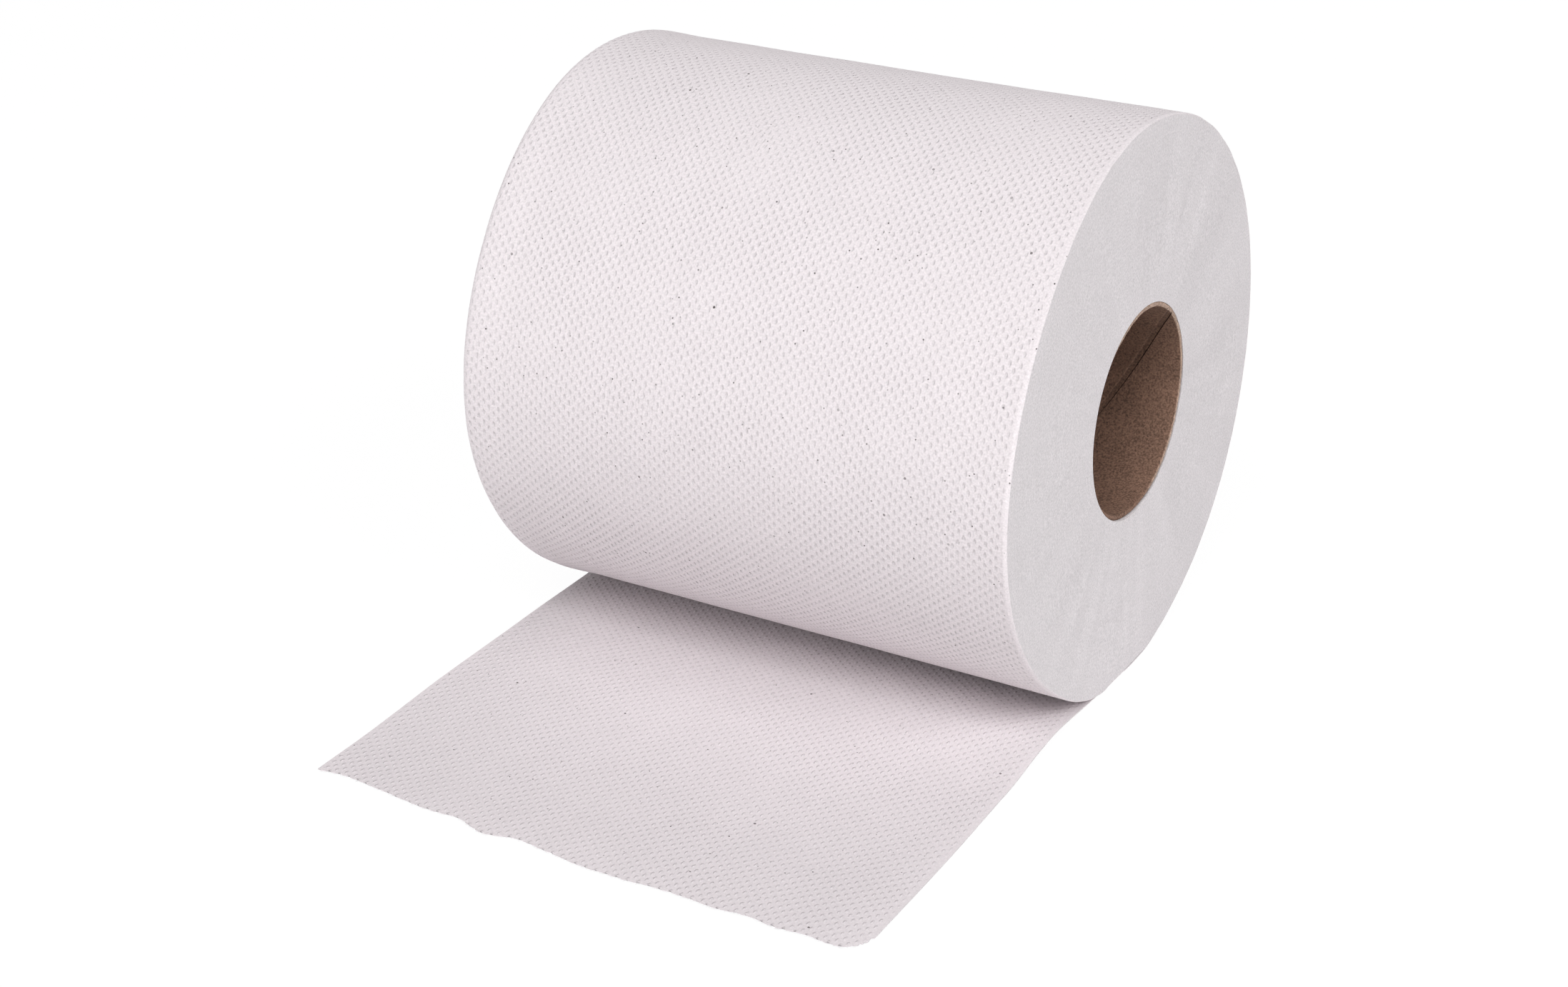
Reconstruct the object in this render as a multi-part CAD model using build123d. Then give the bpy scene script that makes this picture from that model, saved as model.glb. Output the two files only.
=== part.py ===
from build123d import *
from math import asin, cos, pi, sin
import os

# A hand towel roll that lies on its side, with its loose end drawn out along the floor.
# X runs along the roll's axis, the loose end runs towards -Y, and +Z is up.
# The origin is on the floor, under the roll's axis, halfway between its end faces.

# Roll
roll_width = 200.0  # from end face to end face
roll_radius = 98.0  # from the axis to the outermost turn
flat_sag = 1.3  # how far the roll's weight flattens its underside
edge_stagger = 0.5  # how far the turns wander past the sheet's own edge on each side
far_shoulder = 3.5  # rounding of the rim at the far end, where handling has worn it
far_flare = 0.4  # how far the outer turns stand proud beside that rim
far_flare_run = 14.0  # length over which the flare dies away
near_rim = 0.5  # edge of the crisp rim at the near end

# Core
core_bore_radius = 35.0  # the hole that takes a dispenser's spindle
core_wall = 1.5
core_slip = 0.05  # air between the core and the first turn
core_seam_lead = 121.0  # length of tube that one turn of the spiral seam takes
core_seam_start = 49.0  # degrees from +Y to the seam at the near end
core_seam_gap = 0.6  # between the inner ply's edges, and half of that deep

# Turns, as they show on the end faces
turn_pitch = 12.0  # from one visible turn to the next
turn_gap = 0.6  # width of the groove between two turns
turn_depth = 0.4  # how deep that groove is
turn_margin = 2.5  # plain paper left beside the rim and beside the core

# Loose end
sheet_thickness = 0.4  # two embossed plies
loose_length = 190.5  # from under the axis to the tear, at the sheet's edges
loose_skew = 0.6  # degrees that the sheet runs off square
loose_lift = 0.8  # height of the soft wave in the sheet
loose_waves = 1.5  # waves between the nip and the tear
wave_points = 7
tear_slant = 2.4  # how much further the tear lies at the near edge than at the far one
tear_bow = 3.0  # how far the tear bulges at mid width
tear_ripple = 0.5  # height of the tear's own waves
tear_ripple_pitch = 38.0
tear_points = 13
corner_radius = 4.0  # rounding of the near corner of the tear

# Sizes that follow
axis_height = roll_radius - flat_sag
core_radius = core_bore_radius + core_wall
hub_radius = core_radius + core_slip
half_width = roll_width / 2
half_sheet = half_width - edge_stagger
nip_angle = asin((axis_height - sheet_thickness) / roll_radius)
nip_reach = roll_radius * cos(nip_angle)  # from under the axis to where the sheet leaves the roll
roll_axis = Axis((0, 0, axis_height), (1, 0, 0))


def wound_paper():
    """All the turns as one ring, flat where it rests."""
    flared = roll_radius + far_flare
    shoulder = JernArc(
        start=(-half_width, flared - far_shoulder), tangent=(0, 1), radius=far_shoulder, arc_size=-90
    )
    flare_end = (-half_width + far_shoulder + far_flare_run, roll_radius)
    flare = Line(shoulder @ 1, flare_end)
    lateral = Line(flare_end, (half_width - near_rim, roll_radius))
    rim = Line(lateral @ 1, (half_width, roll_radius - near_rim))
    near_face = Line(rim @ 1, (half_width, hub_radius))
    hub = Line(near_face @ 1, (-half_width, hub_radius))
    far_face = Line(hub @ 1, shoulder @ 0)
    section = make_face([shoulder, flare, lateral, rim, near_face, hub, far_face])
    ring = revolve(Pos(0, 0, axis_height) * (Plane.XZ * section), roll_axis)
    below_floor = Pos(0, 0, -roll_radius) * Box(2 * roll_width, 2 * roll_radius, 2 * roll_radius)
    return ring - below_floor


def turn_line():
    """The line between the turns, a spiral groove of half circles about the roll's axis.

    Going up the back, over the top and down the front, it runs inwards by half a pitch each time.
    """
    first = roll_radius - far_shoulder - turn_margin
    last = core_radius + turn_margin
    halves = []
    for step in range(2 * int((first - last) / turn_pitch)):
        side = 1 if step % 2 == 0 else -1
        centre = side * turn_pitch / 4
        middle = centre + side * (first - step * turn_pitch / 2)
        notch = Polyline(
            (-turn_depth, middle), (turn_depth, middle + turn_gap), (turn_depth, middle - turn_gap), close=True
        )
        halves.append(revolve(make_face(notch), Axis((0, centre, 0), (1, 0, 0)), 180))
    return Part() + halves


def turn_lines():
    """The spiral line cut into both end faces."""
    line = turn_line()
    near = Pos(half_width, 0, axis_height) * line
    far = Pos(-half_width, 0, axis_height) * mirror(line, about=Plane.YZ)
    return near + far


def tear_reach(x):
    """Distance from under the axis to the tear, x mm from the middle of the sheet."""
    across = x / half_sheet
    bow = tear_bow * (1 - across**2)
    ripple = tear_ripple * sin(2 * pi * x / tear_ripple_pitch + pi)
    return loose_length + tear_slant * across / 2 + bow + ripple


def sheet_outline():
    """The loose end seen from above: two straight edges, a torn one and a rounded corner."""
    spots = [half_sheet * (2 * k / (tear_points - 1) - 1) for k in range(tear_points)]
    tear = Spline(*[(x, -tear_reach(x)) for x in spots])
    near_edge = Line(tear @ 1, (half_sheet, 0))
    back_edge = Line(near_edge @ 1, (-half_sheet, 0))
    far_edge = Line(back_edge @ 1, tear @ 0)
    outline = make_face([tear, near_edge, back_edge, far_edge])
    corner = outline.vertices().sort_by_distance((half_sheet, -tear_reach(half_sheet)))[0]
    return Rot(0, 0, loose_skew) * fillet(corner, corner_radius)


def sheet_section():
    """The loose end seen along the roll's axis: flat under the roll, then soft waves.

    It lifts off the floor, comes down to it again, and lifts once more towards the tear.
    """
    longest = loose_length + tear_slant + tear_bow + tear_ripple
    run = longest - nip_reach
    spots = [k / (wave_points - 1) for k in range(wave_points)]
    under = [(-nip_reach - run * s, loose_lift * sin(loose_waves * pi * s) ** 2) for s in spots]
    upper = [(y, z + sheet_thickness) for y, z in under]
    lower_face = Spline(*under, tangents=[(-1, 0), (-1, 0)])
    upper_face = Spline(*upper, tangents=[(-1, 0), (-1, 0)])
    tail = Line(lower_face @ 1, upper_face @ 1)
    upper_flat = Line(upper_face @ 0, (0, sheet_thickness))
    root = Line(upper_flat @ 1, (0, 0))
    lower_flat = Line(root @ 1, lower_face @ 0)
    return make_face([lower_face, tail, upper_face, upper_flat, root, lower_flat])


def loose_end():
    """The sheet between the nip and the tear."""
    ribbon = extrude(Plane.YZ * sheet_section(), roll_width, both=True)
    cutter = extrude(sheet_outline(), loose_lift + 2 * sheet_thickness)
    return ribbon & cutter


def paper_web():
    """One continuous web: the turns and the end drawn out from under them."""
    return wound_paper() + loose_end() - turn_lines()


def core_seam():
    """The open seam of the core's inner ply, a right-handed helix in the tube's own frame."""
    overrun = core_seam_lead / 8
    path = Helix(core_seam_lead, roll_width + 2 * overrun, core_bore_radius)
    profile = Plane(path @ 0, z_dir=path % 0) * Rectangle(core_seam_gap, core_seam_gap)
    seam = sweep(profile, path, is_frenet=True)
    first_angle = core_seam_start - 360 * (roll_width + overrun) / core_seam_lead
    return Pos(0, 0, -half_width - overrun) * Rot(0, 0, first_angle) * seam


def core_tube():
    """Spirally wound cardboard tube in the middle of the turns."""
    tube = Cylinder(core_radius, roll_width) - Cylinder(core_bore_radius, roll_width)
    along_roll = Plane(origin=(0, 0, axis_height), x_dir=(0, 1, 0), z_dir=(1, 0, 0))
    return along_roll * (tube - core_seam())


os.makedirs("parts", exist_ok=True)
export_step(paper_web(), "parts/paper_web.step")
export_step(core_tube(), "parts/core_tube.step")
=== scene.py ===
"""Hand towel roll that lies on its side, with its loose end drawn out along the floor.

Metres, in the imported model's frame: X runs along the roll's axis, the loose end runs towards -Y,
and Z is up. The paper is one web. Its outer side has pressed dots, and it runs from the tear along
the floor, under the roll, up the back, over the top and down the front to the nip.
"""
import logging
import math
from dataclasses import dataclass, field
from enum import Enum
from typing import Union

import bpy
from mathutils import Matrix, Vector


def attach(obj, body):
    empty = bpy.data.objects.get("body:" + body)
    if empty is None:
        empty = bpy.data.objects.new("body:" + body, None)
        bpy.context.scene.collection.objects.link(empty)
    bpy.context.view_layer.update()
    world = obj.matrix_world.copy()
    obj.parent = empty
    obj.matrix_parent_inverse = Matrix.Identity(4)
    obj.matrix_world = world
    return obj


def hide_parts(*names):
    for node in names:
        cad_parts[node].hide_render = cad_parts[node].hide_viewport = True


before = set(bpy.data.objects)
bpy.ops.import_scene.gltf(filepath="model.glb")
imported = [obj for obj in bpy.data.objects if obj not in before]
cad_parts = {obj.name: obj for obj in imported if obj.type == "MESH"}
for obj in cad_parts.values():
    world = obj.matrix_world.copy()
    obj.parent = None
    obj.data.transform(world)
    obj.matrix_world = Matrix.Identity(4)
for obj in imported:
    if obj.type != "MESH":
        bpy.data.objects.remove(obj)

log = logging.getLogger("hand_towel_roll")

MM = 0.001
TURN = 2 * math.pi
WHITE = (1.0, 1.0, 1.0, 1.0)
Socket = bpy.types.NodeSocket
Material = bpy.types.Material
Inputs = dict[str | int, object]
Colour = tuple[float, float, float]
Term = Union["Field", float]


class Slot(Enum):
    """The record's material slots."""

    PAPER = "paper"
    CORE_BOARD = "core_board"


class End(Enum):
    """The two ends of the roll, by the side of the origin that they lie on."""

    NEAR = 1.0
    FAR = -1.0


# Node helpers


class Field:
    """A number in a node tree. Arithmetic on it adds the maths nodes that work it out."""

    def __init__(self, tree: bpy.types.NodeTree, socket: Socket) -> None:
        """Keep the tree and the socket that gives the number."""
        self.tree = tree
        self.socket = socket

    def of(self, operation: str, *others: Term) -> "Field":
        """The result of a maths node whose first term is this number."""
        return work_out(self.tree, operation, self, *others)

    def __add__(self, other: Term) -> "Field":
        """Sum, also with a plain number first."""
        return self.of("ADD", other)

    def __mul__(self, other: Term) -> "Field":
        """Product, also with a plain number first."""
        return self.of("MULTIPLY", other)

    __radd__ = __add__
    __rmul__ = __mul__

    def __sub__(self, other: Term) -> "Field":
        """Difference."""
        return self.of("SUBTRACT", other)

    def __rsub__(self, other: Term) -> "Field":
        """Difference from a plain number."""
        return work_out(self.tree, "SUBTRACT", other, self)

    def __truediv__(self, other: Term) -> "Field":
        """Quotient."""
        return self.of("DIVIDE", other)

    def __rtruediv__(self, other: Term) -> "Field":
        """Quotient of a plain number by this one."""
        return work_out(self.tree, "DIVIDE", other, self)

    def sine(self) -> "Field":
        """Sine of an angle in radians."""
        return self.of("SINE")

    def cosine(self) -> "Field":
        """Cosine of an angle in radians."""
        return self.of("COSINE")

    def magnitude(self) -> "Field":
        """This number without its sign."""
        return self.of("ABSOLUTE")

    def root(self) -> "Field":
        """Square root, where a number below zero counts as zero."""
        return self.at_least(0.0).of("SQRT")

    def at_least(self, low: Term) -> "Field":
        """The larger of this and low."""
        return self.of("MAXIMUM", low)

    def at_most(self, high: Term) -> "Field":
        """The smaller of this and high."""
        return self.of("MINIMUM", high)

    def clamped(self) -> "Field":
        """This kept between zero and one."""
        return self.at_least(0.0).at_most(1.0)

    def above(self, level: Term) -> "Field":
        """One where this is above level, else zero."""
        return self.of("GREATER_THAN", level)

    def wrapped(self) -> "Field":
        """This less the nearest whole number, from -0.5 to 0.5."""
        return self.of("WRAP", 0.5, -0.5)

    def eased(self, start: float, stop: float) -> "Field":
        """Smooth rise from zero at start to one at stop. Start may be the larger."""
        node = self.tree.nodes.new("ShaderNodeMapRange")
        node.interpolation_type = "SMOOTHSTEP"
        for port, term in zip(node.inputs, (self, start, stop)):
            feed(self.tree, port, term)
        return Field(self.tree, node.outputs[0])

    def hump(self, middle: float, reach: float) -> "Field":
        """Smooth hump of height one at middle that ends reach away on both sides."""
        return (self - middle).magnitude().eased(reach, 0.0)

    def blended(self, other: Term, share: Term) -> "Field":
        """This where share is zero and other where it is one."""
        return self * (1.0 - share) + share * other

    def softly_over(self, level: Term, softness: float) -> "Field":
        """The larger of this and level, with the corner between them rounded."""
        gap = self - level
        return (self + level + (gap * gap + softness * softness).root()) * 0.5


def feed(tree: bpy.types.NodeTree, port: Socket, term: object) -> None:
    """Give a node's input a number, a vector, a socket or a field."""
    if isinstance(term, Field):
        tree.links.new(term.socket, port)
    elif isinstance(term, Socket):
        tree.links.new(term, port)
    else:
        port.default_value = term


def work_out(tree: bpy.types.NodeTree, operation: str, *terms: Term) -> Field:
    """Add one maths node.

    Args:
        tree: Node tree to add it to.
        operation: Name of the sum, such as ADD.
        terms: Its one, two or three terms.

    Returns:
        Its result.
    """
    node = tree.nodes.new("ShaderNodeMath")
    node.operation = operation
    for port, term in zip(node.inputs, terms):
        feed(tree, port, term)
    return Field(tree, node.outputs[0])


class Bench:
    """Adds nodes to one tree, of geometry or of shading."""

    def __init__(self, tree: bpy.types.NodeTree) -> None:
        """Keep the tree."""
        self.tree = tree

    def node(
        self, kind: str, inputs: Inputs | None = None, **settings: object
    ) -> bpy.types.Node:
        """Add a node.

        Args:
            kind: Blender's name for the node type.
            inputs: What goes into its inputs, by their names or their places.
            settings: Its own properties.

        Returns:
            The node.
        """
        made = self.tree.nodes.new(kind)
        for name, value in settings.items():
            setattr(made, name, value)
        for label, value in (inputs or {}).items():
            feed(self.tree, made.inputs[label], value)
        return made

    def result(
        self, kind: str, inputs: Inputs | None = None, **settings: object
    ) -> Socket:
        """The first output of a new node. The arguments are as for node."""
        return self.node(kind, inputs, **settings).outputs[0]

    def number(self, socket: Socket) -> Field:
        """A socket as a number that can be reckoned with."""
        return Field(self.tree, socket)

    def vector(self, x: Term, y: Term, z: Term) -> Socket:
        """A vector from three numbers."""
        return self.result("ShaderNodeCombineXYZ", {"X": x, "Y": y, "Z": z})

    def parts(self, vector: Socket) -> tuple[Field, Field, Field]:
        """The three numbers of a vector."""
        node = self.node("ShaderNodeSeparateXYZ", {"Vector": vector})
        return tuple(self.number(out) for out in node.outputs)

    def around(self, angle: Field, radius: Term, along: Term) -> Socket:
        """A vector at an angle and a radius about its third axis."""
        return self.vector(angle.cosine() * radius, angle.sine() * radius, along)

    def noise(self, at: Socket, scale: Term, detail: float = 2.0) -> Field:
        """Soft noise from about -0.5 to 0.5."""
        inputs = {"Vector": at, "Scale": scale, "Detail": detail}
        return self.number(self.result("ShaderNodeTexNoise", inputs)) - 0.5


# Sizes


@dataclass(frozen=True)
class RollSizes:
    """The wound part of the web. Angles are in degrees from +Y towards +Z.

    far_worn_at and crest_at are a middle and a reach. A lobe is its number of waves round the roll,
    its height and the angle of its first top.
    """

    radius: float = 98.0 * MM
    axis_height: float = 96.7 * MM
    half_width: float = 100.0 * MM
    hub_radius: float = 36.55 * MM
    slack: float = -0.2 * MM
    wander: float = 0.5 * MM
    wander_scales: tuple[float, float] = (3.0, 26.0)
    foot_sides: tuple[float, float] = (-45.0, 225.0)
    foot_clear: tuple[float, float] = (0.24, 0.62)
    foot_softness: float = 0.35 * MM
    far_shoulder: float = 3.5 * MM
    far_flare: float = 0.4 * MM
    far_flare_run: float = 14.0 * MM
    far_worn: float = 0.8 * MM
    far_worn_at: tuple[float, float] = (150.0, 65.0)
    crest: float = 0.6 * MM
    crest_at: tuple[float, float] = (90.0, 50.0)
    crest_ramp: tuple[float, float] = (20.0 * MM, 90.0 * MM)
    near_round: float = 0.5 * MM
    lobes: tuple[tuple[int, float, float], ...] = (
        (2, 0.67 * MM, -70.0),
        (3, 0.50 * MM, -114.0),
        (4, 0.47 * MM, 54.0),
        (5, 0.34 * MM, -164.0),
    )

    @property
    def flat_half(self) -> float:
        """Half the width of the flat that the roll rests on."""
        return math.sqrt(self.radius**2 - self.axis_height**2)

    @property
    def first_angle(self) -> float:
        """Angle from +Y at which the web leaves the floor behind the roll."""
        return -math.asin(self.axis_height / self.radius)

    @property
    def run(self) -> float:
        """Length of the outer turn, from under the axis all the way round to there again."""
        return self.flat_half + self.radius * (1.5 * math.pi - self.first_angle)


@dataclass(frozen=True)
class Swell:
    """A soft rise in the loose end, about a middle along it. Across, it grows from starts to whole."""

    height: float
    middle: float
    reach: float
    starts: float
    whole: float

    def rise(self, across: Field, along: Field) -> Field:
        """Height of the rise."""
        return along.hump(self.middle, self.reach) * across.eased(self.starts, self.whole) * self.height


@dataclass(frozen=True)
class SheetSizes:
    """The loose end, from under the roll's axis to the tear. A wave is its height, length and phase."""

    half_width: float = 99.5 * MM
    thickness: float = 0.4 * MM
    air: float = 0.05 * MM
    reach: float = 191.8 * MM
    tear_base: float = 189.5 * MM
    slant: float = 0.005
    waves: tuple[tuple[float, float, float], ...] = (
        (2.98 * MM, 336.9 * MM, 1.24),
        (0.48 * MM, 58.7 * MM, 0.14),
        (0.55 * MM, 37.6 * MM, 0.32),
        (0.35 * MM, 30.3 * MM, 2.09),
        (0.35 * MM, 25.0 * MM, 3.0),
        (0.30 * MM, 21.0 * MM, 5.19),
        (0.18 * MM, 17.3 * MM, 0.63),
    )
    rags: float = 1.3 * MM
    rag_scale: float = 320.0
    corner: float = 6.5 * MM
    skew: float = 0.0187
    shift: float = -1.17 * MM
    nip_reach: float = 18.0 * MM
    lift: float = 0.8 * MM
    swells: tuple[Swell, ...] = (
        Swell(2.6 * MM, -54.0 * MM, 40.0 * MM, -25.0 * MM, 80.0 * MM),
        Swell(1.2 * MM, -125.0 * MM, 50.0 * MM, 10.0 * MM, -60.0 * MM),
    )
    drift: float = 0.9 * MM
    drift_scale: float = 22.0
    drift_stretch: float = 0.6
    held_edge: tuple[float, float] = (70.0 * MM, 99.0 * MM)
    held_share: float = 0.8
    fan: float = 1.1 * MM
    fan_scale: float = 60.0
    fan_lean: float = 0.55
    fan_stretch: float = 0.12
    fan_across: tuple[float, float] = (-20.0 * MM, 80.0 * MM)
    fan_run: tuple[float, float] = (0.32, 0.4)
    curl: float = 0.15 * MM
    curl_across: tuple[float, float] = (-80.0 * MM, -99.5 * MM)
    curl_along: tuple[float, float] = (-150.0 * MM, -192.0 * MM)


@dataclass(frozen=True)
class DotSizes:
    """The pressed dots, in rows a little off square, with one more amid every four. Tilts in degrees."""

    spacing_across: float = 3.676 * MM
    spacing_along: float = 3.749 * MM
    row_tilt: float = 2.46
    column_tilt: float = 3.47
    depth: float = 0.2 * MM
    inner_share: float = 0.9
    half_length: float = 1.25 * MM
    half_width: float = 0.62 * MM
    firmness: float = 0.9
    unevenness: float = 0.8
    uneven_scale: float = 24.0
    edge_strip: tuple[float, float] = (2.5 * MM, 0.5 * MM)
    edge_loss: float = 0.8
    steps: int = 4

    @property
    def across(self) -> tuple[float, float]:
        """Step from a dot to the next in its row, across and along the web."""
        tilt = math.radians(self.row_tilt)
        return self.spacing_across * math.cos(tilt), self.spacing_across * math.sin(tilt)

    @property
    def along(self) -> tuple[float, float]:
        """Step from a dot to the next in its column, across and along the web."""
        tilt = math.radians(self.column_tilt)
        return -self.spacing_along * math.sin(tilt), self.spacing_along * math.cos(tilt)

    def phases(self, across: Term, along: Term) -> tuple[Term, Term]:
        """A place on the web, counted in these two steps."""
        (ax, ay), (bx, by) = self.across, self.along
        area = ax * by - ay * bx
        return across * (by / area) - along * (bx / area), along * (ax / area) - across * (ay / area)


@dataclass(frozen=True)
class Crease:
    """A short sharp fold that runs along the web, from where it starts to where it stops."""

    across: float
    start: float
    stop: float
    lean: float
    depth: float

    def height(self, across: Field, along: Field, reach: float) -> Field:
        """Height of the fold, a furrow with a low ridge beside it."""
        middle, half = (self.start + self.stop) / 2, (self.stop - self.start) / 2
        away = across - (along - middle) * self.lean - self.across
        fold = away.hump(reach * 0.9, reach) * 0.6 - away.hump(0.0, reach)
        return fold * along.hump(middle, half).root() * self.depth


# The web's shape


@dataclass(frozen=True)
class Web:
    """Where each point of the web lies. Across runs along X, along runs with the web."""

    roll: RollSizes
    sheet: SheetSizes
    dots: DotSizes
    creases: tuple[Crease, ...]

    def tear(self, bench: Bench, across: Field) -> Field:
        """How far along the web the tear is, below zero.

        Args:
            bench: Bench of the tree.
            across: Distance across the web.

        Returns:
            Distance along the web.
        """
        sheet = self.sheet
        line = across * -sheet.slant - sheet.tear_base
        for height, length, start in sheet.waves:
            line = line - (across * (TURN / length) + start).sine() * height
        rag = bench.noise(bench.vector(across, 0.0, 0.0), sheet.rag_scale, 3.0) * sheet.rags
        inset = ((across - (sheet.half_width - sheet.corner)) / sheet.corner).at_least(0.0)
        return line + rag + (1.0 - (1.0 - inset * inset).root()) * sheet.corner

    def pit(self, across: Field, along: Field) -> Field:
        """One in the middle of each dot's oval, and zero from its edge outwards."""
        u, v = self.dots.phases(across, along)
        (ax, ay), (bx, by) = self.dots.across, self.dots.along
        rows = []
        for shift in (0.0, 0.5):
            near_u, near_v = (u - shift).wrapped(), (v - shift).wrapped()
            s = (near_u * ax + near_v * bx) / self.dots.half_width
            p = (near_u * ay + near_v * by) / self.dots.half_length
            rows.append((s * s + p * p).root().eased(1.0, 0.15))
        return rows[0].at_least(rows[1])

    def press(self, bench: Bench, across: Field, along: Field) -> Field:
        """How firmly the dots are pressed, from about a half to one, and less beside the cut edges."""
        dots = self.dots
        uneven = bench.noise(bench.vector(across, along, 0.0), dots.uneven_scale, 1.0) * dots.unevenness
        start, stop = (self.sheet.half_width - inset for inset in dots.edge_strip)
        return (uneven + dots.firmness) * (1.0 - across.magnitude().eased(start, stop) * dots.edge_loss)

    def folds(self, across: Field, along: Field, reach: float) -> Field:
        """Height of all the creases together."""
        height = across * 0.0
        for crease in self.creases:
            height = height + crease.height(across, along, reach)
        return height

    def relief(self, bench: Bench, across: Field, along: Field, inner: Field) -> Field:
        """Height of the outer side with the dots pressed in, and less of it on the inner side."""
        pressed = self.pit(across, along) * self.press(bench, across, along) * self.dots.depth
        return self.folds(across, along, 1.8 * MM) - pressed * (1.0 - inner * (1.0 - self.dots.inner_share))

    def lift(self, bench: Bench, across: Field, along: Field) -> Field:
        """Height of the loose end's underside over the floor.

        Args:
            bench: Bench of the tree.
            across: Distance across the web.
            along: Distance along the web, below zero.

        Returns:
            Height in metres.
        """
        sheet = self.sheet
        run = ((0.0 - along) - sheet.nip_reach) / (sheet.reach - sheet.nip_reach)
        wave = (run.at_least(0.0) * (1.5 * math.pi)).sine()
        held = across.magnitude().eased(*sheet.held_edge) * sheet.held_share
        free = run.eased(0.0, 0.25) * (1.0 - held)
        spot = bench.vector(across, along * sheet.drift_stretch, 0.0)
        drift = bench.noise(spot, sheet.drift_scale, 2.0) * free * sheet.drift
        spot = bench.vector(across + along * sheet.fan_lean, along * sheet.fan_stretch, 0.3)
        fan = bench.noise(spot, sheet.fan_scale, 1.0) * across.eased(*sheet.fan_across)
        fan = fan * run.hump(*sheet.fan_run) * sheet.fan
        height = wave * wave * sheet.lift + drift + fan
        for swell in sheet.swells:
            height = height + swell.rise(across, along)
        curl = across.eased(*sheet.curl_across) * along.eased(*sheet.curl_along)
        return height.at_least(0.0) + curl * sheet.curl

    def radius_at(self, bench: Bench, angle: Field, across: Field) -> Field:
        """Distance from the roll's axis to its outer side.

        Args:
            bench: Bench of the tree.
            angle: Angle from +Y towards +Z.
            across: Distance across the web.

        Returns:
            Radius in metres, without the dots.
        """
        roll = self.roll
        out = angle * 0.0 + roll.slack
        for order, height, start in roll.lobes:
            out = out + (angle * float(order) - math.radians(start)).cosine() * height
        from_foot = (angle + math.pi / 2).sine().magnitude()
        behind, in_front = map(math.radians, roll.foot_sides)
        below = (angle - in_front).above(0.0) + (behind - angle).above(0.0)
        foot = below * (1.0 - from_foot.eased(*roll.foot_clear))
        worn = angle.hump(*map(math.radians, roll.far_worn_at)) * roll.far_worn
        flare_start = -roll.half_width + roll.far_shoulder
        flare = across.eased(flare_start + roll.far_flare_run, flare_start) * (worn + roll.far_flare)
        crest = angle.hump(*map(math.radians, roll.crest_at)) * across.eased(*roll.crest_ramp) * roll.crest
        turning, sideways = roll.wander_scales
        wander = bench.noise(bench.around(angle, turning, across * sideways), 1.0, 1.0) * roll.wander
        return out * (1.0 - foot) + flare + crest + roll.radius + wander * (1.0 - foot)

    def on_roll(
        self, bench: Bench, across: Field, along: Field, depth: Field
    ) -> tuple[Field, Field, Field]:
        """Place of a point on the outer turn.

        Args:
            bench: Bench of the tree.
            across: Distance across the web.
            along: Distance along the web, above zero.
            depth: How far the point is under the web's outer side.

        Returns:
            The point's three coordinates.
        """
        roll = self.roll
        angle = (along - roll.flat_half) / roll.radius + roll.first_angle
        far_start = -roll.half_width + roll.far_shoulder
        near_start = roll.half_width - roll.near_round
        far_turn = ((far_start - across) / roll.far_shoulder).at_least(0.0)
        near_turn = ((across - near_start) / roll.near_round).at_least(0.0)
        far_round, near_round = roll.far_shoulder - depth, roll.near_round - depth
        x = across.at_least(far_start).at_most(near_start)
        x = x - far_turn.sine() * far_round + near_turn.sine() * near_round
        drop = (1.0 - far_turn.cosine()) * far_round + (1.0 - near_turn.cosine()) * near_round
        radius = self.radius_at(bench, angle, across) - depth - drop
        z = angle.sine() * radius + roll.axis_height
        under = (angle - math.pi).above(0.0) * (self.sheet.thickness + self.sheet.air)
        return x, angle.cosine() * radius, z.softly_over(under + depth + drop, roll.foot_softness)

    def on_floor(
        self, bench: Bench, across: Field, along: Field, depth: Field
    ) -> tuple[Field, Field, Field]:
        """Place of a point on the loose end. The arguments are as for on_roll."""
        x = across + self.sheet.shift - along * self.sheet.skew
        return x, along, self.lift(bench, across, along) + depth


# Geometry Nodes


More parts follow.
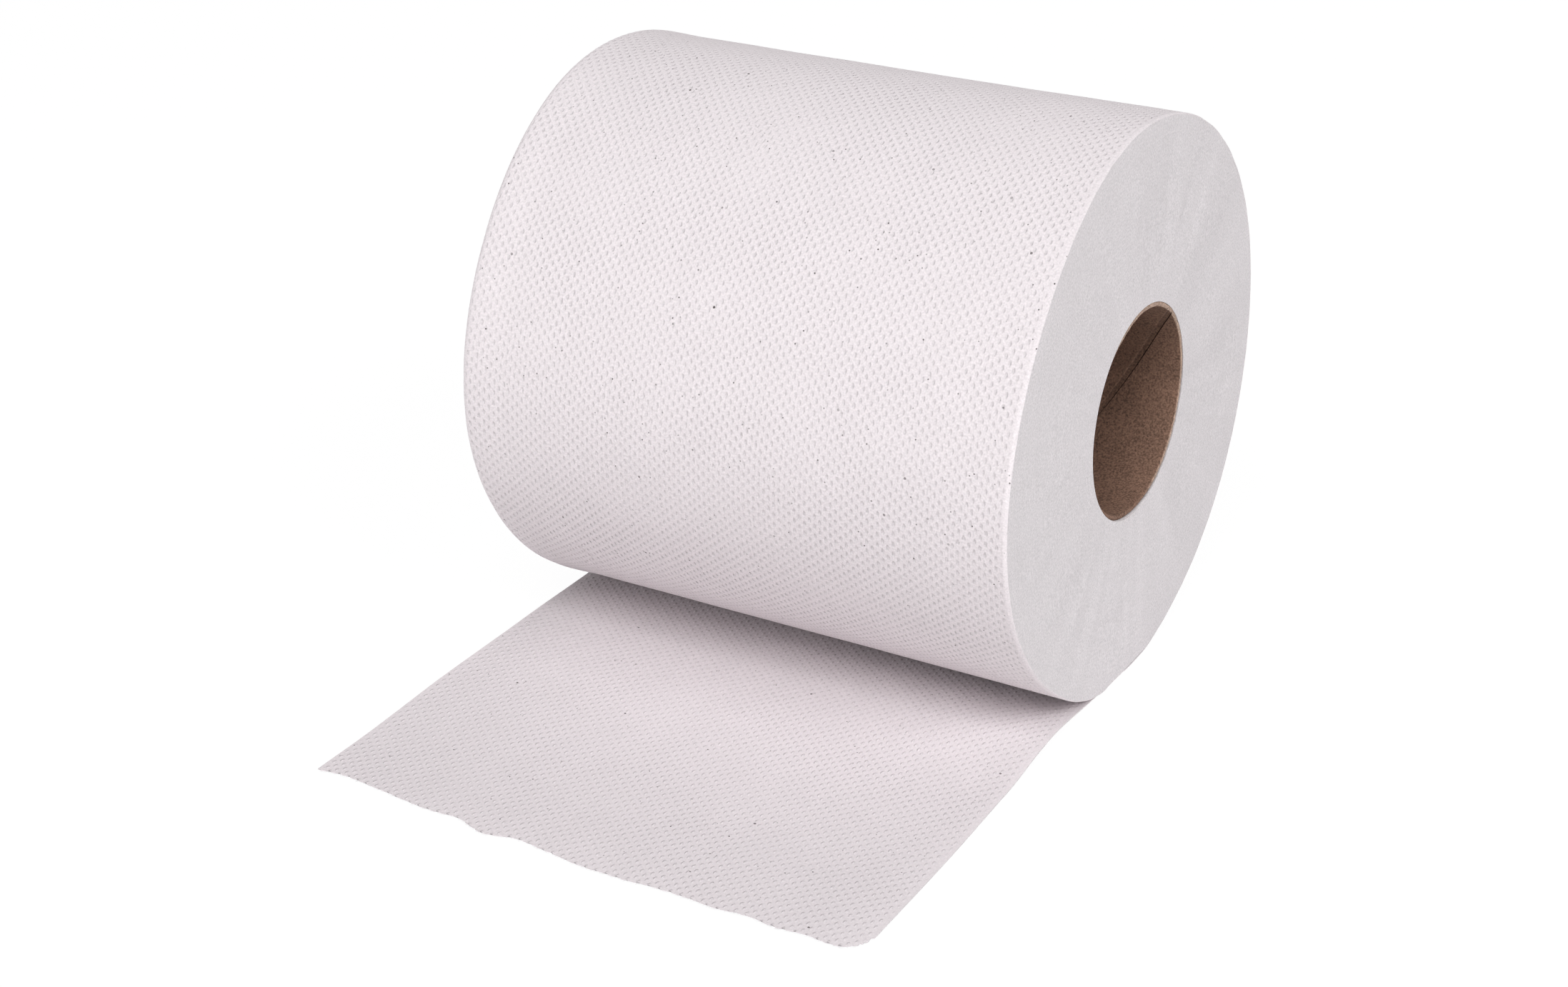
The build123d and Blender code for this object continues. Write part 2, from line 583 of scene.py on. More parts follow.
class Recipe(Bench):
    """A Geometry Nodes tree with named inputs, which bakes to a plain mesh."""

    crisp_turn = 1.0  # radians between two faces, past which the edge between them is crisp

    def __init__(self, name: str, inputs: dict[str, float | int]) -> None:
        """Make the tree and its inputs.

        Args:
            name: Name of the tree.
            inputs: Names of its inputs with their first values.
        """
        super().__init__(bpy.data.node_groups.new(name, "GeometryNodeTree"))
        face = self.tree.interface
        face.new_socket("Geometry", in_out="OUTPUT", socket_type="NodeSocketGeometry")
        self.identifiers: dict[str, str] = {}
        for label, value in inputs.items():
            kind = "NodeSocketInt" if isinstance(value, int) else "NodeSocketFloat"
            socket = face.new_socket(label, in_out="INPUT", socket_type=kind)
            socket.default_value = value
            self.identifiers[label] = socket.identifier
        finish = face.new_socket("Finish", in_out="INPUT", socket_type="NodeSocketMaterial")
        self.finish_identifier = finish.identifier
        self.entry = self.tree.nodes.new("NodeGroupInput")
        self.exit = self.tree.nodes.new("NodeGroupOutput")

    def size(self, label: str) -> Field:
        """One of the tree's inputs."""
        return self.number(self.entry.outputs[label])

    def position(self) -> tuple[Field, Field, Field]:
        """The coordinates of the point being worked on."""
        return self.parts(self.result("GeometryNodeInputPosition"))

    def grid(self, width: Term, columns: Term, height: Term, rows: Term) -> tuple[Socket, Field, Field]:
        """A flat grid about the origin, with the two coordinates of its points."""
        inputs = {"Size X": width, "Size Y": height, "Vertices X": columns, "Vertices Y": rows}
        mesh = self.result("GeometryNodeMeshGrid", inputs)
        x, y, _ = self.position()
        return mesh, x, y

    def moved(self, mesh: Socket, x: Term, y: Term, z: Term) -> Socket:
        """The mesh with each point put at x, y, z."""
        return self.result("GeometryNodeSetPosition", {"Geometry": mesh, "Position": self.vector(x, y, z)})

    def compare(self, first: Term, second: Term, operation: str = "LESS_THAN") -> Socket:
        """Whether the first number is less than the second, or the other way round."""
        inputs = {0: first, 1: second}
        return self.result("FunctionNodeCompare", inputs, data_type="FLOAT", operation=operation)

    def without(self, mesh: Socket, chosen: Socket, domain: str) -> Socket:
        """The mesh less the chosen points or faces."""
        inputs = {"Geometry": mesh, "Selection": chosen}
        return self.result("GeometryNodeDeleteGeometry", inputs, domain=domain)

    def welded(self, mesh: Socket, reach: float = 0.004 * MM) -> Socket:
        """The mesh with points nearer than reach made one."""
        return self.result("GeometryNodeMergeByDistance", {"Geometry": mesh, "Distance": reach})

    def joined(self, *meshes: Socket) -> Socket:
        """Several meshes as one."""
        node = self.node("GeometryNodeJoinGeometry")
        for mesh in meshes:
            self.tree.links.new(mesh, node.inputs[0])
        return node.outputs[0]

    def flipped(self, mesh: Socket) -> Socket:
        """The mesh with its faces turned over."""
        return self.result("GeometryNodeFlipFaces", {"Mesh": mesh})

    def stored(self, mesh: Socket, name: str, value: object, flat: bool = False) -> Socket:
        """The mesh with a named attribute, a number on its points or a place on its flat map."""
        kind, domain = ("FLOAT2", "CORNER") if flat else ("FLOAT", "POINT")
        inputs = {"Geometry": mesh, "Name": name, "Value": value}
        return self.result("GeometryNodeStoreNamedAttribute", inputs, data_type=kind, domain=domain)

    def served(self, mesh: Socket) -> None:
        """End the tree: real mesh, smooth faces, the given finish."""
        real = self.result("GeometryNodeRealizeInstances", {"Geometry": mesh})
        smooth = self.result("GeometryNodeSetShadeSmooth", {"Geometry": real})
        turn = self.number(self.result("GeometryNodeInputMeshEdgeAngle"))
        crisp = self.compare(turn, self.crisp_turn, "GREATER_THAN")
        inputs = {"Geometry": smooth, "Selection": crisp, "Shade Smooth": False}
        shaded = self.result("GeometryNodeSetShadeSmooth", inputs, domain="EDGE")
        inputs = {"Geometry": shaded, "Material": self.entry.outputs["Finish"]}
        self.tree.links.new(self.result("GeometryNodeSetMaterial", inputs), self.exit.inputs[0])

    def baked(self, name: str, inputs: dict[str, float | int], finish: Material) -> bpy.types.Object:
        """Work the tree out once.

        Args:
            name: Name of the piece.
            inputs: Values that differ from the tree's own.
            finish: Material of the piece.

        Returns:
            A plain mesh object at the origin.
        """
        holder = added(name + "_seed", bpy.data.meshes.new(name + "_seed"))
        modifier = holder.modifiers.new("recipe", "NODES")
        modifier.node_group = self.tree
        for label, value in inputs.items():
            modifier[self.identifiers[label]] = value
        modifier[self.finish_identifier] = finish
        view = bpy.context.evaluated_depsgraph_get()
        evaluated = holder.evaluated_get(view)
        mesh = bpy.data.meshes.new_from_object(evaluated, preserve_all_data_layers=True, depsgraph=view)
        holder.modifiers.remove(modifier)
        bpy.data.meshes.remove(holder.data)
        mesh.name = name
        return added(name, mesh)


class WebRecipe(Recipe):
    """A stretch of the web, cut from a grid whose lines follow the rows of dots."""

    flat_shift = (0.11, 0.2)  # keeps the flat map above zero
    least_area = 1e-9  # square metres, of a face that is kept where the grid is trimmed
    trim_weld = 0.06 * MM
    shell_weld = 0.01 * MM
    tear_spare = 8.0 * MM
    margin = 2  # cells of the grid past each corner

    def __init__(self, web: Web) -> None:
        """Build the tree for a web."""
        self.web = web
        inputs: dict[str, float | int] = {
            "Columns": 10,
            "Rows": 10,
            "First Column": 0.0,
            "First Row": 0.0,
            "Far Edge": -0.1,
            "Near Edge": 0.1,
            "Start": -0.1,
            "Stop": 0.0,
            "Loose": 0.0,
            "Thickness": web.sheet.thickness,
        }
        super().__init__("embossed_web", inputs)
        self.build()

    def lattice(self) -> tuple[Socket, Field, Field]:
        """A flat grid, with each point's distance across and along the web."""
        columns, rows = self.size("Columns"), self.size("Rows")
        grid, x, y = self.grid(columns - 1.0, columns, rows - 1.0, rows)
        column = x + (columns - 1.0) * 0.5 + self.size("First Column")
        row = y + (rows - 1.0) * 0.5 + self.size("First Row")
        steps = self.web.dots.steps
        (ax, ay), (bx, by) = self.web.dots.across, self.web.dots.along
        across = column * (ax / steps) + row * (bx / steps)
        along = column * (ay / steps) + row * (by / steps)
        return grid, across, along

    def build(self) -> None:
        """Trim the grid to the stretch's edges, give it its thickness and put it in place."""
        far, near, loose, stop = (self.size(label) for label in ("Far Edge", "Near Edge", "Loose", "Stop"))
        grid, across, along = self.lattice()
        inside = across.at_least(far).at_most(near)
        start = self.size("Start").blended(self.web.tear(self, inside), loose)
        dots = self.web.dots
        spare, spare_along = ((abs(a) + abs(b)) / dots.steps for a, b in zip(dots.across, dots.along))
        out = (
            (far - spare - across).above(0.0)
            + (across - near - spare).above(0.0)
            + (start - spare_along - along).above(0.0)
            + (along - stop - spare_along).above(0.0)
        )
        trimmed = self.without(grid, self.compare(out, 0.5, "GREATER_THAN"), "POINT")
        flat = self.moved(trimmed, inside, along.at_least(start).at_most(stop), 0.0)
        area = self.number(self.result("GeometryNodeInputMeshFaceArea"))
        flat = self.welded(self.without(flat, self.compare(area, self.least_area), "FACE"), self.trim_weld)
        shell = self.thickened(flat)
        s, p, z = self.position()
        side = z * (1.0 + dots.inner_share) - 1.0
        shell = self.stored(shell, "dent", self.web.press(self, s, p) * side)
        place = self.vector(s + self.flat_shift[0], p + self.flat_shift[1], 0.0)
        shell = self.stored(shell, "web", place, flat=True)
        depth = z * self.size("Thickness") - self.web.relief(self, s, p, z)
        wound, laid = self.web.on_roll(self, s, p, depth), self.web.on_floor(self, s, p, depth)
        self.served(self.moved(shell, *(a.blended(b, loose) for a, b in zip(wound, laid))))

    def thickened(self, flat: Socket) -> Socket:
        """The outer side at height zero and its edges, with the inner side at height one if loose."""
        up = self.vector(0.0, 0.0, 1.0)
        inputs = {"Mesh": flat, "Offset": up, "Offset Scale": 1.0, "Individual": False}
        extrude = self.node("GeometryNodeExtrudeMesh", inputs, mode="FACES")
        chosen = {0: extrude.outputs["Top"], 1: self.compare(self.size("Loose"), 0.5)}
        bare = self.result("FunctionNodeBooleanMath", chosen, operation="AND")
        edges = self.without(extrude.outputs["Mesh"], bare, "FACE")
        return self.welded(self.joined(self.flipped(flat), edges), self.shell_weld)

    def stretch(
        self, name: str, ends: tuple[float, float], edges: tuple[float, float], finish: Material,
        loose: bool = False,
    ) -> bpy.types.Object:
        """Bake one stretch of the web.

        Args:
            name: Name of the piece.
            ends: Where it starts and stops along the web.
            edges: Its far and near edges across the web.
            finish: Its material.
            loose: Whether it lies on the floor and ends in the tear.

        Returns:
            The piece.
        """
        dots = self.web.dots
        start, stop = ends
        spare = self.tear_spare if loose else 0.0
        corners = [dots.phases(s, p) for s in edges for p in (start - spare, stop)]
        columns, rows = ([phase * dots.steps for phase in phases] for phases in zip(*corners))
        first = [math.floor(min(counts)) - self.margin for counts in (columns, rows)]
        last = [math.ceil(max(counts)) + self.margin for counts in (columns, rows)]
        inputs: dict[str, float | int] = {
            "Columns": last[0] - first[0] + 1,
            "Rows": last[1] - first[1] + 1,
            "First Column": float(first[0]),
            "First Row": float(first[1]),
            "Far Edge": edges[0],
            "Near Edge": edges[1],
            "Start": start,
            "Stop": stop,
            "Loose": float(loose),
        }
        return self.baked(name, inputs, finish)


class WoundRecipe(Recipe):
    """The turns under the outer one, as a ring with the edges of the turns on both end faces."""

    fold_height = 1.6 * MM
    fold_scales = (5.2, 9.0)
    swell_height = 1.4 * MM
    swell_scale = 30.0
    ridge_scale = 60.0
    gap = 0.1 * MM  # between this ring and the web outside it

    def __init__(self, web: Web) -> None:
        """Build the tree for a web's roll."""
        self.web = web
        sizes = {
            "Rings": 82,
            "Spokes": 361,
            "Ridge Pitch": 3.1 * MM,
            "Ridge Height": 0.06 * MM,
            "Recess": 0.04 * MM,
        }
        super().__init__("turn_edges", sizes)
        near, far = self.face(End.NEAR), self.flipped(self.face(End.FAR))
        parts = near, far, self.flipped(self.outside()), self.hub()
        self.served(self.welded(self.joined(*parts)))

    def polar_grid(self, steps: Term) -> tuple[Socket, Field, Field]:
        """A grid with the share of the way along it and the angle round the axis."""
        grid, x, y = self.grid(1.0, steps, 1.0, self.size("Spokes"))
        return grid, x + 0.5, (y + 0.5) * TURN

    def rim(self, angle: Field, end: End) -> Field:
        """Radius at which an end face stops under the outer turn's rounded edge."""
        roll = self.web.roll
        inset = roll.near_round if end is End.NEAR else roll.far_shoulder
        return self.web.radius_at(self, angle, angle * 0.0 + end.value * roll.half_width) - inset

    def seated(self, mesh: Socket, x: Field, angle: Field, radius: Field) -> Socket:
        """The mesh placed about the roll's axis, with its foot flat above the web under it."""
        z = angle.sine() * radius + self.web.roll.axis_height
        z = z.softly_over(2.0 * self.web.sheet.thickness + self.gap, self.gap)
        return self.moved(mesh, x, angle.cosine() * radius, z)

    def face(self, end: End) -> Socket:
        """One end face, with the spiral of turn edges and the soft folds that run out from the core.

        Args:
            end: Which of the two.

        Returns:
            The face's mesh.
        """
        grid, share, angle = self.polar_grid(self.size("Rings"))
        hub = self.web.roll.hub_radius
        radius = share * (self.rim(angle, end) - hub) + hub
        turn = (radius / self.size("Ridge Pitch") + angle / TURN) * TURN
        turning, outwards = self.fold_scales
        fold = self.noise(self.around(angle, turning, radius * outwards + end.value), 1.0, 2.0)
        spot = self.around(angle, radius, end.value)
        swell = self.noise(spot, self.swell_scale, 1.0)
        ridge = turn.sine() * (self.noise(spot, self.ridge_scale, 1.0) + 0.6) * self.size("Ridge Height")
        height = fold * self.fold_height + swell * self.swell_height + ridge
        height = height * share.hump(0.5, 0.501).root()
        x = (height - self.size("Recess") + self.web.roll.half_width) * end.value
        return self.seated(grid, x, angle, radius)

    def outside(self) -> Socket:
        """The ring's outside, which the outer turn covers."""
        roll = self.web.roll
        grid, share, angle = self.polar_grid(4)
        first, second = (share * 3.0).at_most(1.0), (share * 3.0 - 1.0).clamped()
        third = (share * 3.0 - 2.0).at_least(0.0)
        under = self.web.radius_at(self, angle, angle * 0.0) - self.web.sheet.thickness - self.gap
        near, far = self.rim(angle, End.NEAR), self.rim(angle, End.FAR)
        edge = self.size("Recess") * -1.0 + roll.half_width
        lead, tail = roll.far_shoulder - 0.2 * MM, 0.7 * MM
        x = first * lead + second * (edge * 2.0 - (lead + tail)) + third * tail - edge
        radius = far + first * (under - far) + third * (near - under)
        return self.seated(grid, x, angle, radius)

    def hub(self) -> Socket:
        """The ring's hub, which the core fills."""
        grid, share, angle = self.polar_grid(2)
        edge = self.size("Recess") * -1.0 + self.web.roll.half_width
        return self.seated(grid, (share * 2.0 - 1.0) * edge, angle, angle * 0.0 + self.web.roll.hub_radius)


@dataclass(frozen=True)
class CoreSizes:
    """The cardboard tube. Angles are in degrees from +Y towards +Z.

    Scales of noise are round the axis and along it. A spread is the cosines, taken from an angle,
    between which an effect grows.
    """

    bore_radius: float = 35.0 * MM
    wall: float = 1.5 * MM
    half_width: float = 100.0 * MM
    seam_lead: float = 121.0 * MM
    seam_angle: float = 49.0
    seam_half_gap: float = 0.4 * MM
    seam_depth: float = 0.3 * MM
    seam_bunching: float = 0.93
    band: float = 3.8 * MM
    band_depth: float = 0.22 * MM
    band_edge: float = 0.25 * MM
    # painted shade: share of the seam line's darkening that the sunken band beside it gets
    band_painted_shade: float = 0.3
    dents: float = 0.35 * MM
    dent_scales: tuple[float, float] = (4.0, 30.0)
    rim_bulge: float = 0.22 * MM
    rim_wander: float = 0.6 * MM
    fray_scales: tuple[float, float] = (9.0, 8.0)
    squash: float = 0.9 * MM
    squash_at: float = 317.0
    squash_spread: tuple[float, float] = (0.3, 1.0)
    squash_run: tuple[float, float] = (60.0 * MM, 100.0 * MM)
    rim_zone: float = 2.0 * MM
    rim_recess: float = 0.25 * MM
    rim_sunk: float = 1.1 * MM
    rim_sunk_at: float = 205.0
    rim_sunk_spread: tuple[float, float] = (-0.1, 0.75)


class CoreRecipe(Recipe):
    """The tube, made from a grid that follows the spiral seam."""

    def __init__(self, sizes: CoreSizes, axis_height: float) -> None:
        """Build the tree."""
        self.sizes = sizes
        inputs: dict[str, float | int] = {
            "Columns": 151,
            "Bore Rows": 91,
            "Outside Rows": 48,
            "Rim Rows": 4,
            "Seam Lead": sizes.seam_lead,
            "Seam Angle": math.radians(sizes.seam_angle),
        }
        super().__init__("wound_core", inputs)
        self.build(axis_height)

    def build(self, axis_height: float) -> None:
        """Wrap a grid round: up the bore, over the near rim, back outside, over the far rim."""
        sizes = self.sizes
        half, width = sizes.half_width, 2.0 * sizes.half_width
        bore_rows, rim_rows = self.size("Bore Rows"), self.size("Rim Rows")
        outside_rows = self.size("Outside Rows")
        total = bore_rows + rim_rows * 2.0 + outside_rows
        grid, x, y = self.grid(total, total + 1.0, 1.0, self.size("Columns"))
        row, around = x + total * 0.5, y + 0.5
        bore = (row / bore_rows).at_most(1.0)
        near = ((row - bore_rows) / rim_rows).clamped()
        outside = ((row - bore_rows - rim_rows) / outside_rows).clamped()
        far = ((row - bore_rows - rim_rows - outside_rows) / rim_rows).clamped()
        along = bore * width - outside * width - half
        bunched = around - (around * TURN).sine() * (sizes.seam_bunching / TURN)
        past_seam = bunched.wrapped() * (TURN * sizes.bore_radius)
        turn = (along - half) / self.size("Seam Lead") * TURN
        angle = bunched * TURN + turn + self.size("Seam Angle")
        inner = 1.0 - near + far
        line, edge = past_seam.hump(0.0, sizes.seam_half_gap), sizes.band_edge
        band = past_seam.eased(-edge, edge) * past_seam.eased(sizes.band + edge, sizes.band - edge)
        turning, rising = sizes.dent_scales
        dent = self.noise(self.around(angle, turning, along * rising), 1.0, 2.0) * sizes.dents
        squash = (angle - math.radians(sizes.squash_at)).cosine().eased(*sizes.squash_spread)
        squash = squash * along.eased(*sizes.squash_run) * sizes.squash
        groove = line * sizes.seam_depth + band * sizes.band_depth
        radius = (near - far) * sizes.wall + sizes.bore_radius + (groove + dent) * inner - squash
        at_rim = along.magnitude().eased(half - sizes.rim_zone, half)
        turning, rising = sizes.fray_scales
        frayed = self.noise(self.around(angle, turning, along * rising), 1.0, 3.0) * sizes.rim_wander
        bulge = ((near * math.pi).sine() - (far * math.pi).sine()) * sizes.rim_bulge
        sunk = (angle - math.radians(sizes.rim_sunk_at)).cosine().eased(*sizes.rim_sunk_spread)
        sunk = sunk * sizes.rim_sunk
        x = along + bulge + along.of("SIGN") * at_rim * (frayed - (sunk + sizes.rim_recess))
        # the seam's groove and the sunken band beside it are stored to be darkened in the board's colour, as
        # painted shade
        marked = self.stored(grid, "seam", (line + band * sizes.band_painted_shade) * inner)
        placed = self.moved(marked, x, angle.cosine() * radius, angle.sine() * radius + axis_height)
        self.served(self.flipped(self.welded(placed)))


class FibreRecipe(Recipe):
    """Short paper fibres that stand out of the tear. The bend is that of a fibre one unit long."""

    bend = {"Start": (0.0, 0.0, 0.0), "Middle": (0.12, -0.5, 0.1), "End": (-0.08, -1.0, 0.02)}
    inset = (0.3 * MM, 2.5 * MM)
    depths = (0.0, 0.35 * MM)
    lowest = 0.03 * MM
    tilts = (-0.35, 0.3)
    turns = (-1.1, 1.1)
    lengths = (0.2, 1.0)

    def __init__(self, web: Web) -> None:
        """Build the tree for a web."""
        self.web = web
        super().__init__("tear_fibres", {"Fibres": 1100, "Seed": 7, "Longest": 1.3 * MM, "Girth": 0.022 * MM})
        self.build()

    def drawn(self, low: float, high: float, draw: int) -> Field:
        """A different number between low and high for each fibre."""
        inputs = {"Seed": self.size("Seed") + float(draw), 2: low, 3: high}
        return self.number(self.node("FunctionNodeRandomValue", inputs, data_type="FLOAT").outputs[1])

    def build(self) -> None:
        """Scatter points along the tear and put a bent fibre on each."""
        sheet = self.web.sheet
        line = self.result("GeometryNodeMeshLine", {"Count": self.size("Fibres")})
        far, near = self.inset
        across = self.drawn(-sheet.half_width + far, sheet.half_width - near, 1)
        along = self.web.tear(self, across) + self.drawn(*self.depths, 2)
        place = self.web.on_floor(self, across, along, self.drawn(self.lowest, sheet.thickness, 3))
        bend = self.result("GeometryNodeCurveQuadraticBezier", {"Resolution": 4, **self.bend})
        girth = self.size("Girth") / self.size("Longest")
        ring = self.node("GeometryNodeCurvePrimitiveCircle", {"Resolution": 3, "Radius": girth})
        inputs = {"Curve": bend, "Profile Curve": ring.outputs["Curve"], "Fill Caps": True}
        fibre = self.result("GeometryNodeCurveToMesh", inputs)
        turn = self.vector(self.drawn(*self.tilts, 4), 0.0, self.drawn(*self.turns, 5))
        length = self.drawn(*self.lengths, 6) * self.size("Longest")
        scale = self.vector(length, length, length)
        inputs = {"Points": self.moved(line, *place), "Instance": fibre, "Rotation": turn, "Scale": scale}
        self.served(self.result("GeometryNodeInstanceOnPoints", inputs))


# Shading


class ShadeGroup(Bench):
    """A shader node group that works out one number from a place and some named inputs."""

    def __init__(self, name: str, inputs: dict[str, float], output: str) -> None:
        """Make the group.

        Args:
            name: Name of the group.
            inputs: Its numbers with their first values.
            output: Name of the number that it gives.
        """
        super().__init__(bpy.data.node_groups.new(name, "ShaderNodeTree"))
        face = self.tree.interface
        face.new_socket("Place", in_out="INPUT", socket_type="NodeSocketVector")
        for label, value in inputs.items():
            face.new_socket(label, in_out="INPUT", socket_type="NodeSocketFloat").default_value = value
        face.new_socket(output, in_out="OUTPUT", socket_type="NodeSocketFloat")
        self.entry = self.tree.nodes.new("NodeGroupInput")
        self.exit = self.tree.nodes.new("NodeGroupOutput")
        self.place = self.entry.outputs["Place"]

    def given(self, label: str) -> Field:
        """One of the group's inputs."""
        return self.number(self.entry.outputs[label])

    def give(self, value: Field) -> "ShadeGroup":
        """Set the group's output, and pass the finished group on."""
        feed(self.tree, self.exit.inputs[0], value)
        return self


def fleck_group() -> ShadeGroup:
    """Flecks and short dark fibres scattered through recycled pulp."""
    group = ShadeGroup("pulp_flecks", {"Spacing": 4.5 * MM, "Size": 0.2 * MM, "Share": 0.3}, "Mask")
    ragged, ragged_scale, edge = 0.22 * MM, 1400.0, 0.05 * MM
    smallest, growth, faintest, deepening = 0.35, 0.9, 0.4, 0.6
    spacing = group.given("Spacing")
    cells = group.node("ShaderNodeTexVoronoi", {"Vector": group.place, "Scale": 1.0 / spacing}, feature="F1")
    chance, darkness, bulk = group.parts(cells.outputs["Color"])
    away = group.number(cells.outputs["Distance"]) * spacing
    away = away + group.noise(group.place, ragged_scale, 1.0) * ragged
    reach = group.given("Size") * (bulk * growth + smallest)
    spot = (1.0 - ((away - reach) / edge).clamped()) * (group.given("Share") - chance).above(0.0)
    return group.give(spot * (darkness * deepening + faintest))


def tone_group() -> ShadeGroup:
    """Uneven tone as a share of the colour's lightness, cloudy at one scale and fibrous at a finer one."""
    inputs = {"Cloud Scale": 60.0, "Cloud": 0.08, "Fibre Scale": 1500.0, "Fibre": 0.4}
    group = ShadeGroup("pulp_tone", inputs, "Tone")
    kinds = "Cloud", "Fibre"
    cloud, fibre = (group.noise(group.place, group.given(kind + " Scale"), 2.0) for kind in kinds)
    return group.give(cloud * group.given("Cloud") + fibre * group.given("Fibre"))


def tooth_group() -> ShadeGroup:
    """Fine felted surface of pressed fibres, as a height in metres."""
    group = ShadeGroup("pulp_tooth", {"Grain": 2200.0, "Depth": 0.03 * MM}, "Height")
    return group.give(group.noise(group.place, group.given("Grain"), 3.0) * group.given("Depth"))


@dataclass(frozen=True)
class Flecks:
    """One sowing of flecks: the cell for each, its size and the share of cells that hold one."""

    spacing: float
    size: float
    share: float


class Finish(Bench):
    """Base of the materials: one Principled shader, with its colour and its bump worked out by nodes."""

    def __init__(self, name: str, groups: dict[str, ShadeGroup]) -> None:
        """Make the material and its shader."""
        self.material = bpy.data.materials.new(name)
        self.material.use_nodes = True
        super().__init__(self.material.node_tree)
        self.tree.nodes.clear()
        self.groups = groups
        self.shader = self.node("ShaderNodeBsdfPrincipled")
        self.node("ShaderNodeOutputMaterial", {0: self.shader.outputs[0]})

    def grouped(self, name: str, inputs: Inputs) -> Field:
        """What one of the shared groups gives for this material's own values."""
        return self.number(self.result("ShaderNodeGroup", inputs, node_tree=self.groups[name].tree))

    def flecked(self, place: Socket, flecks: Flecks, sown: Term = 1.0) -> Field:
        """Mask of one sowing of flecks, thinned out where sown is less than one."""
        inputs = {"Spacing": flecks.spacing, "Size": flecks.size, "Share": sown * flecks.share}
        return self.grouped("flecks", {"Place": place, **inputs})

    def carried(self, name: str) -> Field:
        """A number that the points of the piece's mesh carry."""
        return self.number(self.node("ShaderNodeAttribute", attribute_name=name).outputs["Fac"])

    def web_place(self) -> tuple[Socket, Field, Field]:
        """The flat map of the web in metres, as a vector and as its two numbers."""
        flat = self.result("ShaderNodeUVMap", uv_map="web")
        u, v, _ = self.parts(flat)
        across, along = WebRecipe.flat_shift
        return flat, u - across, v - along

    def object_place(self) -> Socket:
        """Object coordinates, which are the model's own frame."""
        return self.node("ShaderNodeTexCoord").outputs["Object"]

    def mixed(self, base: Colour | Socket, other: Colour, share: Field) -> Socket:
        """A colour with a share of another in it."""
        first = base if isinstance(base, Socket) else (*base, 1.0)
        inputs = {0: share, 6: first, 7: (*other, 1.0)}
        return self.node("ShaderNodeMix", inputs, data_type="RGBA").outputs[2]

    def toned(self, colour: Socket, level: Field) -> Socket:
        """The colour made lighter or darker by a factor."""
        return self.result("ShaderNodeVectorMath", {0: colour, "Scale": level}, operation="SCALE")

    def finished(self, colour: Socket, height: Field, roughness: float, specular: float) -> Material:
        """Connect colour and bump, and set the plain numbers.

        Args:
            colour: Base colour.
            height: Height of the bump in metres.
            roughness: Roughness of the surface.
            specular: Specular level of the surface.

        Returns:
            The finished material.
        """
        bump = self.result("ShaderNodeBump", {"Height": height, "Strength": 1.0, "Distance": 1.0})
        values = {
            "Base Color": colour,
            "Normal": bump,
            "Roughness": roughness,
            "Specular IOR Level": specular,
        }
        for label, value in values.items():
            feed(self.tree, self.shader.inputs[label], value)
        return self.material


@dataclass(frozen=True)
class PaperFinish:
    """Soft embossed towel paper with flecks of recycled pulp, painted shade in the pressed pits and a painted
    highlight on the rim. The rim is the edge by the near end.
    """

    colour: Colour = (0.80, 0.745, 0.765)
    fleck: Colour = (0.07, 0.055, 0.055)
    small: Flecks = Flecks(2.3 * MM, 0.19 * MM, 0.5)
    large: Flecks = Flecks(7.0 * MM, 0.33 * MM, 0.55)
    inner_fewer: float = 0.6
    # painted shade: how much darker the pressed pits on the outer side are drawn, for the shade that falls
    # inside them
    shade: float = 0.1
    # painted highlight: how much lighter the paper is drawn along the near end's edge, over one stretch of
    # the front, for the light this edge catches
    rim: float = 0.1
    rim_highlight_across: tuple[float, float] = (98.2 * MM, 99.3 * MM)
    rim_highlight_along: tuple[float, float] = (380.0 * MM, 450.0 * MM)
    cloud: float = 0.05
    grain: float = 0.5
    inner_smoother: float = 0.45
    tooth: float = 0.12 * MM
    tooth_grain: float = 1300.0
    dot_depth: float = 0.32 * MM
    inner_gain: float = 0.2
    crease_reach: float = 0.7 * MM
    crease_share: float = 0.5
    roughness: float = 0.93
    specular: float = 0.25

    def made(self, groups: dict[str, ShadeGroup], web: Web) -> Material:
        """The material, with its pattern laid out on the web's flat map."""
        finish = Finish("towel_paper", groups)
        place, across, along = finish.web_place()
        pit, dent = web.pit(across, along), finish.carried("dent")
        inner = dent.above(0.0)
        grain = self.grain * (1.0 - inner * self.inner_smoother)
        tone = finish.grouped("tone", {"Place": place, "Cloud": self.cloud, "Fibre": grain})
        sown = 1.0 - inner * self.inner_fewer
        small, large = (finish.flecked(place, flecks, sown) for flecks in (self.small, self.large))
        colour = finish.mixed(self.colour, self.fleck, small.at_least(large))
        # painted highlight along the near edge, over one stretch of the turn
        rim = across.eased(*self.rim_highlight_across) * along.eased(*self.rim_highlight_along)
        # the pits on the outer side are darkened here as painted shade
        level = 1.0 + tone + pit * dent.at_most(0.0) * self.shade + rim * self.rim
        tooth = finish.grouped("tooth", {"Place": place, "Grain": self.tooth_grain, "Depth": self.tooth})
        height = pit * (dent + dent.at_least(0.0) * self.inner_gain) * self.dot_depth
        height = height + web.folds(across, along, self.crease_reach) * self.crease_share
        return finish.finished(finish.toned(colour, level), tooth + height, self.roughness, self.specular)


